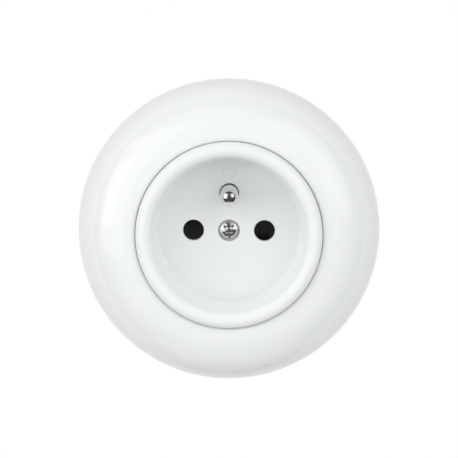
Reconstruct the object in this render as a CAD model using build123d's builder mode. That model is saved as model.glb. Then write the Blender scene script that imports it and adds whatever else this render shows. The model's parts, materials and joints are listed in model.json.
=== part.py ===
"""Round flush wall socket with an earth pin, its safety shutter, contacts, terminals and support ring.

The front of the socket faces -Y and +Z is up. The wall surface is the plane Y = 0, and the origin lies on it,
midway between the two box screws. All sizes are in millimetres. A height is measured from the wall surface
towards the room, so what is sunk into the wall box has a negative height.
"""

from build123d import *
import math
import os

# The plug's own sizes, which every socket of this kind shares
pin_spacing = 19.0
pin_diameter = 4.8
pin_hole_diameter = 5.6
earth_pin_offset = 10.0
earth_pin_reach = 14.0
well_depth = 15.0
well_floor_diameter = 38.0
well_taper = 1.4

# Centre cover
well_floor_height = 4.5
bead_width = 4.0
cover_wall = 1.5
cover_floor = 2.0
cover_skirt_wall = 1.4
cover_seat_height = 12.0
pin_hole_chamfer = 0.25
rating_recess_width = 7.8
rating_recess_height = 6.2
rating_recess_depth = 0.2
rating_recess_corner = 0.8
rating_recess_drop = 9.2
key_width = 4.0
key_thickness = 1.0
key_length = 1.6

# Outer frame
frame_height = 17.2
frame_foot = 1.0
frame_wall = 2.6
frame_gap = 0.2
frame_edge_radius = 1.0
frame_ledge_width = 2.0
frame_ledge_thickness = 2.0
frame_collar_wall = 2.2
frame_rib_count = 8
frame_rib_wall = 1.2
frame_rib_height = 5.0
frame_crown_tightening = 0.65

# Mounting ring
ring_edge = 3.0
ring_rim_clearance = 1.4
ring_thickness = 1.2
box_screw_spacing = 60.0
box_slot_width = 4.2
box_slot_length = 7.0
level_slot_width = 3.6
level_slot_arc = 16.0
ring_swage_inset = 1.5
ring_swage_width = 1.6
ring_swage_height = 0.6

# Base housing
housing_wall = 2.5
housing_flat_cut = 2.0
housing_spigot_wall = 1.6
housing_depth = 23.0
housing_floor = 6.0
housing_flange_reach = 1.5
housing_flange_thickness = 2.4
housing_corner = 1.2
pocket_width = 8.6
pocket_top = 4.6
rivet_inset = 4.0
rivet_count = 4
rivet_diameter = 3.2
rivet_head_diameter = 5.2
rivet_head_height = 0.9
rivet_bore_diameter = 1.8
rivet_ear_diameter = 6.4
window_width = 6.8
window_height = 7.4
wire_way_width = 6.0

# Contact deck
deck_overhang = 1.0
deck_thickness = 2.0
deck_floor_height = -1.0
deck_rim_wall = 1.4
hub_boss_diameter = 6.0
deck_screw_inset = 4.0
deck_screw_angle = -12.6
deck_screw_diameter = 2.2
deck_screw_head_diameter = 4.0
deck_screw_head_height = 1.3
deck_screw_length = 8.0
spring_post_angle = 296.0
spring_post_width = 3.0
spring_post_inner_radius = 10.5

# Rotary shutter
shutter_travel = 36.0
shutter_blade_reach = 13.4
shutter_blade_half_angle = 19.5
shutter_hub_wall = 1.6
shutter_ramp_width = 3.0
shutter_ramp_depth = 2.4
shutter_ramp_lead = 2.6
shutter_lug_angle = 240.0
shutter_lug_width = 2.4
shutter_lug_rim_gap = 2.2
stop_engagement = 1.8
stop_width = 1.8
spring_wire_diameter = 0.32
spring_diameter = 2.4
spring_turns = 5

# Contacts and terminals
strip_thickness = 0.8
strip_width = 8.2
tulip_deck_gap = 1.2
tulip_slot_width = 1.0
tulip_flare = 0.6
clip_thickness = 0.5
clip_height = 4.0
clip_drop = 3.0
clip_opening_angle = 50.0
terminal_drop = 9.8
terminal_screw_diameter = 3.0
terminal_head_diameter = 5.6
terminal_head_height = 1.9
terminal_thread_length = 5.4
clamp_plate_width = 6.4
clamp_plate_thickness = 1.2
clamp_plate_corner = 0.8
wire_gap = 1.4
screw_slot_width = 0.8
screw_slot_depth = 0.8

# Earth path
earth_strap_thickness = 1.0
earth_strap_width = 8.0
earth_strap_margin = 1.3
earth_terminal_offset = 12.4
earth_collar_diameter = 7.0
earth_collar_thickness = 1.0
earth_shank_step = 0.3
earth_rivet_diameter = 3.2
earth_rivet_head_diameter = 4.6
earth_rivet_head_height = 0.6
earth_tongue_width = 3.0
earth_tongue_overlap = 5.0

# Cover screw and its nut
cover_screw_diameter = 3.0
cover_screw_head_diameter = 5.3
cover_screw_head_height = 1.8
cover_screw_head_sink = 1.2
cover_screw_length = 11.0
cross_recess_span = 3.8
cross_recess_width = 0.7
cross_recess_depth = 1.1
cover_screw_slot_span = 4.3
cover_screw_turn = 5.0
nut_width = 5.5
nut_thickness = 2.4

# Clearances
running_clearance = 0.05
thread_clearance = 0.05
fitting_clearance = 0.2
hole_clearance = 0.25
float_clearance = 0.2

# How near a face or an edge lies to the place where it is looked for
find_tolerance = 0.01

# Places that follow from the sizes above
floor_radius = well_floor_diameter / 2
mouth_radius = floor_radius + well_taper
cover_radius = mouth_radius + bead_width
bead_radius = bead_width / 2
crest_height = well_floor_height + well_depth
bead_root_height = crest_height - bead_radius
cover_underside = well_floor_height - cover_floor
ring_radius = box_screw_spacing / 2 + box_slot_length / 2 + ring_edge
frame_radius = ring_radius + ring_rim_clearance + frame_wall
frame_bore_radius = cover_radius + frame_gap
collar_radius = frame_bore_radius + frame_collar_wall
dome_centre_radius = frame_bore_radius + frame_edge_radius
dome_width = frame_radius - dome_centre_radius
dome_height = frame_height - frame_foot
crown_radius = dome_width - frame_crown_tightening
flank_rise = dome_height - crown_radius
flank_radius = (dome_width**2 + flank_rise**2 - crown_radius**2) / (2 * frame_crown_tightening)
flank_angle = math.degrees(math.atan2(flank_rise, flank_radius - dome_width))
frame_hoop_radius = (collar_radius + frame_radius - frame_wall) / 2
ring_front = ring_thickness
deck_radius = floor_radius + deck_overhang
housing_radius = deck_radius + housing_wall
ring_opening_radius = deck_radius + housing_spigot_wall + 2 * fitting_clearance
deck_underside = deck_floor_height - deck_thickness
deck_rim_top = cover_underside - float_clearance
deck_rim_inner_radius = deck_radius - deck_rim_wall
pocket_floor = -housing_depth + housing_floor
pocket_limit_radius = deck_radius - deck_rim_wall
rivet_circle_radius = ring_opening_radius + rivet_inset
deck_screw_circle_radius = deck_radius - deck_screw_inset
rivet_hole_diameter = rivet_diameter + 2 * running_clearance
pin_radius = pin_diameter / 2
pin_offset = pin_spacing / 2
shutter_underside = deck_floor_height + float_clearance
shutter_top = cover_underside - float_clearance
hub_bore_radius = hub_boss_diameter / 2 + running_clearance
hub_radius = hub_bore_radius + shutter_hub_wall
earth_shank_radius = pin_radius - earth_shank_step
earth_hole_radius = pin_radius + fitting_clearance
strip_front = pocket_floor + strip_thickness
sleeve_top = deck_underside - tulip_deck_gap
terminal_places = [(pin_offset, -terminal_drop), (-pin_offset, -terminal_drop), (0, earth_terminal_offset)]
terminal_names = ["live", "neutral", "earth"]
shutter_lug_reach = deck_rim_inner_radius - shutter_lug_rim_gap
stop_inner_radius = shutter_lug_reach - stop_engagement
spring_radius = stop_inner_radius - spring_diameter / 2 - 2 * fitting_clearance
post_outer_radius = deck_rim_inner_radius + deck_rim_wall / 2
end_stop_turn = math.radians(spring_post_angle - shutter_lug_angle - shutter_travel)
end_stop_width = stop_inner_radius * math.sin(end_stop_turn) - shutter_lug_width / 2
earth_strap_top = pocket_limit_radius - earth_strap_margin
earth_strap_foot = earth_pin_offset - earth_strap_width / 2
earth_tongue_reach = ring_opening_radius + earth_tongue_overlap
clamp_front = pocket_floor - wire_gap
clamp_back = clamp_front - clamp_plate_thickness
earth_strap_front = deck_underside - earth_collar_thickness
earth_strap_back = earth_strap_front - earth_strap_thickness
nut_front = deck_underside
cover_screw_seat = well_floor_height - cover_screw_head_sink
cover_screw_tip = cover_screw_seat - cover_screw_length

# Radius across, height up: the half section of what is turned about the socket's own axis
section = Plane(origin=(0, 0, 0), x_dir=(1, 0, 0), z_dir=(0, 0, -1))


def level(height):
    """The plane parallel to the wall at a height, looking out of the wall, with X to the right and Z up."""
    return Plane.XZ.offset(height)


def section_at(x, z):
    """A half-section plane for what is turned about an axis through X, Z, square to the wall."""
    return Plane(origin=(x, 0, z), x_dir=(1, 0, 0), z_dir=(0, 0, -1))


def axis_at(x, z):
    """The axis through X, Z, square to the wall."""
    return Axis((x, 0, z), (0, -1, 0))


def polar(radius, angle):
    """X and Z of a point by its radius and its angle in degrees, counted from +X towards +Z."""
    return radius * math.cos(math.radians(angle)), radius * math.sin(math.radians(angle))


# Outer frame: a domed shell on a collar, with radial ribs and a hoop behind it
with BuildPart() as frame_hollow:
    with BuildSketch(section):
        with BuildLine():
            inner_flank = CenterArc(
                (frame_radius - flank_radius, frame_foot), flank_radius - frame_wall, 0, flank_angle
            )
            inner_crown = CenterArc(
                (dome_centre_radius, frame_height - crown_radius), crown_radius - frame_wall,
                flank_angle, 90 - flank_angle,
            )
            Polyline(
                inner_crown @ 1,
                (dome_centre_radius, 0),
                (frame_radius - frame_wall, 0),
                inner_flank @ 0,
            )
        make_face()
        with Locations((0, 0)):
            Rectangle(collar_radius, frame_height, align=(Align.MIN, Align.MIN), mode=Mode.SUBTRACT)
    revolve(axis=Axis.Y)
    with BuildSketch(level(frame_rib_height)):
        with PolarLocations(frame_radius / 2, frame_rib_count, start_angle=180 / frame_rib_count):
            Rectangle(frame_radius, frame_rib_wall)
        Circle(frame_hoop_radius + frame_rib_wall / 2)
        Circle(frame_hoop_radius - frame_rib_wall / 2, mode=Mode.SUBTRACT)
        with PolarLocations(frame_radius / 2, frame_rib_count, start_angle=180 / frame_rib_count):
            Rectangle(frame_radius, frame_rib_wall)
    extrude(amount=frame_height, mode=Mode.SUBTRACT)

with BuildPart() as outer_frame:
    with BuildSketch(section):
        with BuildLine():
            flank = CenterArc((frame_radius - flank_radius, frame_foot), flank_radius, 0, flank_angle)
            CenterArc(
                (dome_centre_radius, frame_height - crown_radius), crown_radius, flank_angle, 90 - flank_angle
            )
            edge = CenterArc(
                (dome_centre_radius, frame_height - frame_edge_radius), frame_edge_radius, 90, 90
            )
            Polyline(
                edge @ 1,
                (frame_bore_radius, cover_seat_height),
                (frame_bore_radius - frame_ledge_width, cover_seat_height),
                (frame_bore_radius - frame_ledge_width, cover_seat_height - frame_ledge_thickness),
                (frame_bore_radius, cover_seat_height - frame_ledge_thickness),
                (frame_bore_radius, 0),
                (frame_radius, 0),
                flank @ 0,
            )
        make_face()
    revolve(axis=Axis.Y)
    add(frame_hollow.part, mode=Mode.SUBTRACT)
    # The collar stands on the mounting ring, and is cut back over the rivet heads
    with BuildSketch(level(0)):
        Circle(collar_radius + frame_rib_wall)
    extrude(amount=ring_front, mode=Mode.SUBTRACT)
    with BuildSketch(level(ring_front)):
        with PolarLocations(rivet_circle_radius, rivet_count, start_angle=180 / rivet_count):
            Circle(rivet_head_diameter / 2 + 2 * hole_clearance)
    extrude(amount=rivet_head_height + 2 * hole_clearance, mode=Mode.SUBTRACT)
outer_frame.part.label = "outer_frame"

# Centre cover: the well with its full-round bead, the skirt that holds the frame, and the holes
with BuildPart() as centre_cover:
    with BuildSketch(section):
        with BuildLine():
            bead = CenterArc((mouth_radius + bead_radius, bead_root_height), bead_radius, 0, 180)
            Polyline(
                bead @ 1,
                (floor_radius, well_floor_height),
                (0, well_floor_height),
                (0, cover_underside),
                (floor_radius + cover_wall, cover_underside),
                (mouth_radius + cover_wall, bead_root_height),
                (cover_radius - cover_skirt_wall, bead_root_height),
                (cover_radius - cover_skirt_wall, cover_seat_height),
                (cover_radius, cover_seat_height),
                bead @ 0,
            )
        make_face()
    revolve(axis=Axis.Y)
    with BuildSketch(level(cover_underside)):
        with Locations((pin_offset, 0), (-pin_offset, 0)):
            Circle(pin_hole_diameter / 2)
        with Locations((0, earth_pin_offset)):
            Circle(earth_hole_radius)
        Circle(cover_screw_diameter / 2 + hole_clearance)
    extrude(amount=cover_floor, mode=Mode.SUBTRACT)
    floor_face = centre_cover.faces().filter_by(Axis.Y).filter_by_position(
        Axis.Y, -well_floor_height - find_tolerance, -well_floor_height + find_tolerance
    )
    pin_hole_edges = [
        rim
        for rim in floor_face.edges().filter_by(GeomType.CIRCLE)
        if abs(rim.radius - pin_hole_diameter / 2) < find_tolerance
        and abs(abs(rim.arc_center.X) - pin_offset) < find_tolerance
    ]
    chamfer(pin_hole_edges, pin_hole_chamfer)
    with BuildSketch(level(cover_screw_seat)):
        Circle(cover_screw_head_diameter / 2 + hole_clearance)
    extrude(amount=cover_screw_head_sink, mode=Mode.SUBTRACT)
    with BuildSketch(level(well_floor_height)):
        with Locations((0, -rating_recess_drop)):
            RectangleRounded(rating_recess_width, rating_recess_height, rating_recess_corner)
    extrude(amount=-rating_recess_depth, mode=Mode.SUBTRACT)
    # The key below the floor drops into the notch of the deck's rim
    with BuildSketch(level(cover_underside)):
        with Locations((0, -deck_rim_inner_radius - deck_rim_wall / 2)):
            Rectangle(key_width, key_thickness)
    extrude(amount=-key_length)
centre_cover.part.label = "centre_cover"

# Cover screw: domed head with a slot through a cross recess
with BuildPart() as cover_screw:
    with BuildSketch(section):
        with BuildLine():
            head_top = cover_screw_seat + cover_screw_head_height
            head_radius = cover_screw_head_diameter / 2
            dome_start = (head_radius, head_top - cover_screw_head_height / 2)
            ThreePointArc(
                (0, head_top),
                (head_radius * 0.6, head_top - cover_screw_head_height * 0.12),
                dome_start,
            )
            Polyline(
                dome_start,
                (head_radius, cover_screw_seat),
                (cover_screw_diameter / 2, cover_screw_seat),
                (cover_screw_diameter / 2, cover_screw_tip),
                (0, cover_screw_tip),
                (0, head_top),
            )
        make_face()
    revolve(axis=Axis.Y)
    with BuildSketch(level(head_top)):
        Rectangle(cross_recess_width, cross_recess_span, rotation=cover_screw_turn + 45)
        Rectangle(cross_recess_span, cross_recess_width, rotation=cover_screw_turn + 45)
    extrude(amount=-cross_recess_depth, mode=Mode.SUBTRACT)
    with BuildSketch(level(head_top)):
        Rectangle(screw_slot_width, cover_screw_slot_span, rotation=cover_screw_turn)
    extrude(amount=-screw_slot_depth, mode=Mode.SUBTRACT)
cover_screw.part.label = "cover_screw"

# Square nut that the cover screw pulls against the deck
with BuildPart() as cover_nut:
    with BuildSketch(level(nut_front)):
        Rectangle(nut_width, nut_width)
        Circle(cover_screw_diameter / 2 + thread_clearance, mode=Mode.SUBTRACT)
    extrude(amount=-nut_thickness)
    chamfer(cover_nut.edges().filter_by(Axis.Y), nut_width / 12)
cover_nut.part.label = "cover_nut"

# Mounting ring: pressed steel plate with box screw slots, levelling slots and a swaged hoop
with BuildPart() as mounting_ring:
    with BuildSketch(level(0)):
        Circle(ring_radius)
        Circle(ring_opening_radius, mode=Mode.SUBTRACT)
        with Locations((0, box_screw_spacing / 2), (0, -box_screw_spacing / 2)):
            SlotOverall(box_slot_length, box_slot_width, rotation=90, mode=Mode.SUBTRACT)
        with PolarLocations(rivet_circle_radius, rivet_count, start_angle=180 / rivet_count):
            Circle(rivet_hole_diameter / 2, mode=Mode.SUBTRACT)
        for side in (0, 180):
            with BuildLine(mode=Mode.PRIVATE) as level_arc:
                CenterArc((0, 0), box_screw_spacing / 2, side - level_slot_arc / 2, level_slot_arc)
            SlotArc(level_arc.wire(), level_slot_width, mode=Mode.SUBTRACT)
    extrude(amount=ring_thickness)
    with BuildSketch(section):
        with Locations((ring_radius - ring_swage_inset, ring_thickness)):
            Trapezoid(ring_swage_width, ring_swage_height, 60, align=(Align.CENTER, Align.MIN))
    revolve(axis=Axis.Y)
    with BuildSketch(section):
        with Locations((ring_radius - ring_swage_inset, 0)):
            Trapezoid(ring_swage_width, ring_swage_height, 60, align=(Align.CENTER, Align.MIN))
    revolve(axis=Axis.Y, mode=Mode.SUBTRACT)
mounting_ring.part.label = "mounting_ring"

# Base housing: moulded body with a spigot for the ring, pockets for the contacts and windows for the
# terminals
with BuildPart() as base_housing:
    with BuildSketch(level(-housing_depth)):
        Circle(housing_radius)
        Rectangle(2 * (housing_radius - housing_flat_cut), 2 * housing_radius, mode=Mode.INTERSECT)
    extrude(amount=housing_depth)
    fillet(base_housing.faces().sort_by(Axis.Y)[-1].edges(), housing_corner)
    with BuildSketch(level(-housing_flange_thickness)):
        Circle(housing_radius + housing_flange_reach)
        with PolarLocations(rivet_circle_radius / 2, rivet_count, start_angle=180 / rivet_count):
            Rectangle(rivet_circle_radius, rivet_ear_diameter)
        with PolarLocations(rivet_circle_radius, rivet_count, start_angle=180 / rivet_count):
            Circle(rivet_ear_diameter / 2)
    extrude(amount=housing_flange_thickness)
    with BuildSketch(level(0)):
        Circle(ring_opening_radius - fitting_clearance)
    extrude(amount=ring_thickness)
    with BuildSketch(level(deck_underside)):
        Circle(deck_radius + fitting_clearance)
    extrude(amount=ring_front - deck_underside, mode=Mode.SUBTRACT)
    # Front pockets, which take the contacts from the front
    with BuildSketch(level(pocket_floor)):
        pocket_foot = -terminal_drop - strip_width / 2 - fitting_clearance
        for side in (1, -1):
            with Locations((side * pin_offset, (pocket_top + pocket_foot) / 2)):
                Rectangle(pocket_width, pocket_top - pocket_foot)
        with Locations((0, (earth_strap_foot + earth_strap_top) / 2)):
            Rectangle(
                earth_strap_width + 2 * fitting_clearance,
                earth_strap_top - earth_strap_foot + 2 * fitting_clearance,
            )
        Circle(pocket_limit_radius, mode=Mode.INTERSECT)
    extrude(amount=deck_underside - pocket_floor, mode=Mode.SUBTRACT)
    # Terminal windows, with a wire way from each to the edge
    with BuildSketch(level(-housing_depth)):
        for (x, z) in terminal_places:
            outward = 1 if z > 0 else -1
            with Locations((x, z)):
                Rectangle(window_width, window_height)
            with Locations((x, z + outward * housing_radius / 2)):
                Rectangle(wire_way_width, housing_radius)
    extrude(amount=housing_floor, mode=Mode.SUBTRACT)
    # Nut pocket and clearance hole for the cover screw
    with BuildSketch(level(deck_underside)):
        Rectangle(nut_width + fitting_clearance, nut_width + fitting_clearance)
    extrude(amount=-nut_thickness - fitting_clearance, mode=Mode.SUBTRACT)
    with BuildSketch(level(deck_underside)):
        Circle(cover_screw_diameter / 2 + hole_clearance)
    extrude(amount=cover_screw_tip - deck_underside - 2 * hole_clearance, mode=Mode.SUBTRACT)
    # Pilot holes of the deck screws and holes for the rivets
    with BuildSketch(level(deck_underside)):
        with PolarLocations(deck_screw_circle_radius, 2, start_angle=deck_screw_angle):
            Circle(deck_screw_diameter / 2 + thread_clearance)
    extrude(amount=deck_thickness - deck_screw_length - hole_clearance, mode=Mode.SUBTRACT)
    with BuildSketch(level(-housing_flange_thickness)):
        with PolarLocations(rivet_circle_radius, rivet_count, start_angle=180 / rivet_count):
            Circle(rivet_hole_diameter / 2)
    extrude(amount=housing_flange_thickness, mode=Mode.SUBTRACT)
    # Notch through which the earth tongue reaches the ring
    with BuildSketch(level(earth_strap_back - fitting_clearance)):
        with Locations((0, (earth_strap_top + earth_tongue_reach) / 2)):
            Rectangle(
                earth_tongue_width + 2 * fitting_clearance,
                earth_tongue_reach - earth_strap_top + 4 * fitting_clearance,
            )
    extrude(amount=-earth_strap_back + fitting_clearance, mode=Mode.SUBTRACT)
base_housing.part.label = "base_housing"

# Contact deck: closes the housing, carries the shutter on its boss and stops the spring
with BuildPart() as contact_deck:
    with BuildSketch(level(deck_underside)):
        Circle(deck_radius)
    extrude(amount=deck_thickness)
    with BuildSketch(level(deck_floor_height)):
        Circle(deck_radius)
        Circle(deck_rim_inner_radius, mode=Mode.SUBTRACT)
        Circle(hub_boss_diameter / 2)
        with PolarLocations(spring_post_inner_radius, 1, start_angle=spring_post_angle):
            Rectangle(
                post_outer_radius - spring_post_inner_radius,
                spring_post_width,
                align=(Align.MIN, Align.CENTER),
            )
        # Two stops for the shutter's lug: one where it rests, and one at the end of its travel
        with PolarLocations(stop_inner_radius, 1, start_angle=shutter_lug_angle):
            with Locations((0, -shutter_lug_width / 2 - running_clearance)):
                Rectangle(post_outer_radius - stop_inner_radius, stop_width, align=(Align.MIN, Align.MAX))
        with PolarLocations(stop_inner_radius, 1, start_angle=shutter_lug_angle + shutter_travel):
            with Locations((0, shutter_lug_width / 2 + running_clearance)):
                Rectangle(
                    post_outer_radius - stop_inner_radius,
                    end_stop_width,
                    align=(Align.MIN, Align.MIN),
                )
    extrude(amount=deck_rim_top - deck_floor_height)
    with BuildSketch(level(deck_underside)):
        with Locations((pin_offset, 0), (-pin_offset, 0)):
            Circle(pin_hole_diameter / 2)
        with Locations((0, earth_pin_offset)):
            Circle(pin_radius + running_clearance)
        with PolarLocations(deck_screw_circle_radius, 2, start_angle=deck_screw_angle):
            Circle(deck_screw_diameter / 2 + hole_clearance)
        Circle(cover_screw_diameter / 2 + hole_clearance)
    extrude(amount=deck_rim_top - deck_underside, mode=Mode.SUBTRACT)
    with BuildSketch(level(deck_rim_top)):
        with Locations((0, -deck_rim_inner_radius - deck_rim_wall / 2)):
            Rectangle(key_width + 2 * fitting_clearance, 2 * deck_rim_wall)
    extrude(amount=-key_length, mode=Mode.SUBTRACT)
contact_deck.part.label = "contact_deck"

# Rotary shutter: two blades on a hub, each with a ramp that a plug pin pushes aside
with BuildPart() as rotary_shutter:
    with BuildSketch(level(shutter_underside)):
        Circle(hub_radius)
        for side in (0, 180):
            with BuildLine():
                inner_arc = CenterArc(
                    (0, 0), hub_bore_radius + shutter_hub_wall / 2,
                    side - shutter_blade_half_angle, 2 * shutter_blade_half_angle,
                )
                outer_arc = CenterArc(
                    (0, 0), shutter_blade_reach, side - shutter_blade_half_angle, 2 * shutter_blade_half_angle
                )
                Line(inner_arc @ 0, outer_arc @ 0)
                Line(inner_arc @ 1, outer_arc @ 1)
            make_face()
        with PolarLocations(shutter_lug_reach / 2, 1, start_angle=shutter_lug_angle):
            Rectangle(shutter_lug_reach, shutter_lug_width)
        Circle(hub_bore_radius, mode=Mode.SUBTRACT)
    extrude(amount=shutter_top - shutter_underside)
    for side in (1, -1):
        with BuildSketch(Plane(origin=(side * pin_offset, 0, 0), x_dir=(0, -1, 0), z_dir=(side, 0, 0))):
            with BuildLine():
                ramp_end = shutter_ramp_lead + shutter_ramp_width
                Polyline(
                    (shutter_top, -shutter_ramp_lead),
                    (shutter_top, ramp_end),
                    (shutter_top - shutter_ramp_depth, ramp_end),
                    close=True,
                )
            make_face()
        extrude(amount=shutter_ramp_width / 2, both=True, mode=Mode.SUBTRACT)
rotary_shutter.part.label = "rotary_shutter"

# Shutter spring: pushes the shutter's lug back from the deck's post
lug_face = shutter_lug_angle + math.degrees(math.asin(shutter_lug_width / 2 / spring_radius))
post_face = spring_post_angle - math.degrees(math.asin(spring_post_width / 2 / spring_radius))
spring_start_x, spring_start_z = polar(spring_radius, lug_face)
spring_end_x, spring_end_z = polar(spring_radius, post_face)
spring_height = (shutter_underside + shutter_top) / 2
spring_start = Vector(spring_start_x, -spring_height, spring_start_z)
spring_end = Vector(spring_end_x, -spring_height, spring_end_z)
spring_way = (spring_end - spring_start).normalized()
spring_slack = spring_diameter / 2 * math.sin(math.radians((post_face - lug_face) / 2)) + fitting_clearance
spring_first = spring_start + spring_way * spring_slack
spring_length = (spring_end - spring_start).length - 2 * spring_slack
spring_coil_radius = (spring_diameter - spring_wire_diameter) / 2
with BuildPart() as shutter_spring:
    with BuildLine():
        coil = Helix(
            pitch=spring_length / spring_turns,
            height=spring_length,
            radius=spring_coil_radius,
            center=spring_first,
            direction=spring_way,
        )
    # Six flats stand for the round of the wire, which keeps the mesh of its turns light
    with BuildSketch(Plane(origin=coil @ 0, z_dir=coil % 0)):
        RegularPolygon(spring_wire_diameter / 2, 6)
    sweep(path=coil, is_frenet=True)
shutter_spring.part.label = "shutter_spring"

# Earth pin: round-nosed, put in from behind, with a waist, a collar under the deck and a rivet tail
with BuildPart() as earth_pin:
    pin_tip = well_floor_height + earth_pin_reach
    pin_section = section_at(0, earth_pin_offset)
    with BuildSketch(pin_section):
        with BuildLine():
            nose = CenterArc((0, pin_tip - pin_radius), pin_radius, 0, 90)
            Polyline(
                nose @ 0,
                (pin_radius, well_floor_height),
                (earth_shank_radius, well_floor_height),
                (earth_shank_radius, deck_underside),
                (earth_collar_diameter / 2, deck_underside),
                (earth_collar_diameter / 2, earth_strap_front),
                (earth_rivet_diameter / 2, earth_strap_front),
                (earth_rivet_diameter / 2, earth_strap_back),
                (earth_rivet_head_diameter / 2, earth_strap_back),
                (earth_rivet_diameter / 2, earth_strap_back - earth_rivet_head_height),
                (0, earth_strap_back - earth_rivet_head_height),
                nose @ 1,
            )
        make_face()
    revolve(axis=axis_at(0, earth_pin_offset))
earth_pin.part.label = "earth_pin"

# Earth strap: from the pin's root down to the terminal, with a tongue to the ring
with BuildPart() as earth_strap:
    strap_side = Plane(origin=(0, 0, 0), x_dir=(0, 0, 1), z_dir=(1, 0, 0))
    with BuildSketch(strap_side):
        with BuildLine():
            Polyline(
                (earth_strap_foot, earth_strap_front),
                (earth_strap_top, earth_strap_front),
                (earth_strap_top, pocket_floor),
                (earth_terminal_offset - strip_width / 2, pocket_floor),
                (earth_terminal_offset - strip_width / 2, pocket_floor + earth_strap_thickness),
                (earth_strap_top - earth_strap_thickness, pocket_floor + earth_strap_thickness),
                (earth_strap_top - earth_strap_thickness, earth_strap_back),
                (earth_strap_foot, earth_strap_back),
                close=True,
            )
        make_face()
    extrude(amount=earth_strap_width / 2, both=True)
    with BuildSketch(strap_side):
        with BuildLine():
            Polyline(
                (earth_strap_top - earth_strap_thickness, earth_strap_front),
                (earth_tongue_reach - 4 * earth_strap_thickness, earth_strap_front),
                (earth_tongue_reach - 2 * earth_strap_thickness, 0),
                (earth_tongue_reach, 0),
                (earth_tongue_reach, -earth_strap_thickness),
                (earth_tongue_reach - 1.4 * earth_strap_thickness, -earth_strap_thickness),
                (earth_tongue_reach - 3.4 * earth_strap_thickness, earth_strap_back),
                (earth_strap_top - earth_strap_thickness, earth_strap_back),
                close=True,
            )
        make_face()
    extrude(amount=earth_tongue_width / 2, both=True)
    with BuildSketch(level(earth_strap_back)):
        with Locations((0, earth_pin_offset)):
            Circle(earth_rivet_diameter / 2)
    extrude(amount=earth_strap_thickness, mode=Mode.SUBTRACT)
    with BuildSketch(level(pocket_floor)):
        with Locations((0, earth_terminal_offset)):
            Circle(terminal_screw_diameter / 2 + thread_clearance)
    extrude(amount=earth_strap_thickness, mode=Mode.SUBTRACT)
earth_strap.part.label = "earth_strap"


def make_contact(name, side):
    """A strip with a split sleeve for the plug pin at one end and a tapped tab at the other."""
    x = side * pin_offset
    sleeve_radius = pin_radius + strip_thickness
    with BuildPart() as contact:
        with BuildSketch(level(pocket_floor)):
            with Locations((x, 0)):
                Circle(sleeve_radius)
            with Locations((x, -terminal_drop / 2)):
                Rectangle(2 * sleeve_radius, terminal_drop)
            with Locations((x, -terminal_drop)):
                Rectangle(strip_width, strip_width)
            Circle(pocket_limit_radius - fitting_clearance, mode=Mode.INTERSECT)
            with Locations((x, -terminal_drop)):
                Circle(terminal_screw_diameter / 2 + thread_clearance, mode=Mode.SUBTRACT)
        extrude(amount=strip_thickness)
        with BuildSketch(section_at(x, 0)):
            with BuildLine():
                Polyline(
                    (pin_radius, strip_front),
                    (sleeve_radius, strip_front),
                    (sleeve_radius, sleeve_top - 2 * tulip_flare),
                    (sleeve_radius + tulip_flare, sleeve_top),
                    (pin_radius + tulip_flare, sleeve_top),
                    (pin_radius, sleeve_top - 2 * tulip_flare),
                    close=True,
                )
            make_face()
        revolve(axis=axis_at(x, 0))
        with BuildSketch(level(strip_front + strip_thickness)):
            with Locations((x, 0)):
                Rectangle(4 * sleeve_radius, tulip_slot_width)
        extrude(amount=sleeve_top - strip_front, mode=Mode.SUBTRACT)
    contact.part.label = name + "_contact"
    return contact.part


def make_clip(name, side):
    """An open spring ring that keeps the two halves of a contact's sleeve pressed on the plug pin."""
    inner_radius = pin_radius + strip_thickness + running_clearance
    clip_front = sleeve_top - clip_drop
    with BuildPart() as clip:
        with BuildSketch(level(clip_front)):
            with Locations((side * pin_offset, 0)):
                Circle(inner_radius + clip_thickness)
                Circle(inner_radius, mode=Mode.SUBTRACT)
            opening = inner_radius * math.radians(clip_opening_angle)
            with Locations((side * pin_offset, inner_radius)):
                Rectangle(opening, inner_radius, mode=Mode.SUBTRACT)
        extrude(amount=-clip_height)
    clip.part.label = name + "_contact_clip"
    return clip.part


def make_clamp_plate(name, x, z):
    """The square washer that presses the wire against a terminal tab."""
    with BuildPart() as plate:
        with BuildSketch(level(clamp_back)):
            with Locations((x, z)):
                RectangleRounded(clamp_plate_width, clamp_plate_width, clamp_plate_corner)
                Circle(terminal_screw_diameter / 2 + hole_clearance, mode=Mode.SUBTRACT)
        extrude(amount=clamp_plate_thickness)
    plate.part.label = name + "_clamp_plate"
    return plate.part


def make_terminal_screw(name, x, z):
    """A cheese-head screw that is driven from the back of the socket."""
    head_back = clamp_back - terminal_head_height
    head_radius = terminal_head_diameter / 2
    with BuildPart() as screw:
        with BuildSketch(level(clamp_back)):
            with Locations((x, z)):
                Circle(head_radius)
        extrude(amount=-terminal_head_height)
        chamfer(screw.faces().sort_by(Axis.Y)[-1].edges(), terminal_head_height / 5)
        with BuildSketch(level(clamp_back)):
            with Locations((x, z)):
                Circle(terminal_screw_diameter / 2)
        extrude(amount=terminal_thread_length)
        with BuildSketch(level(head_back)):
            with Locations((x, z)):
                Rectangle(terminal_head_diameter, screw_slot_width)
        extrude(amount=screw_slot_depth, mode=Mode.SUBTRACT)
    screw.part.label = name + "_terminal_screw"
    return screw.part


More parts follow.
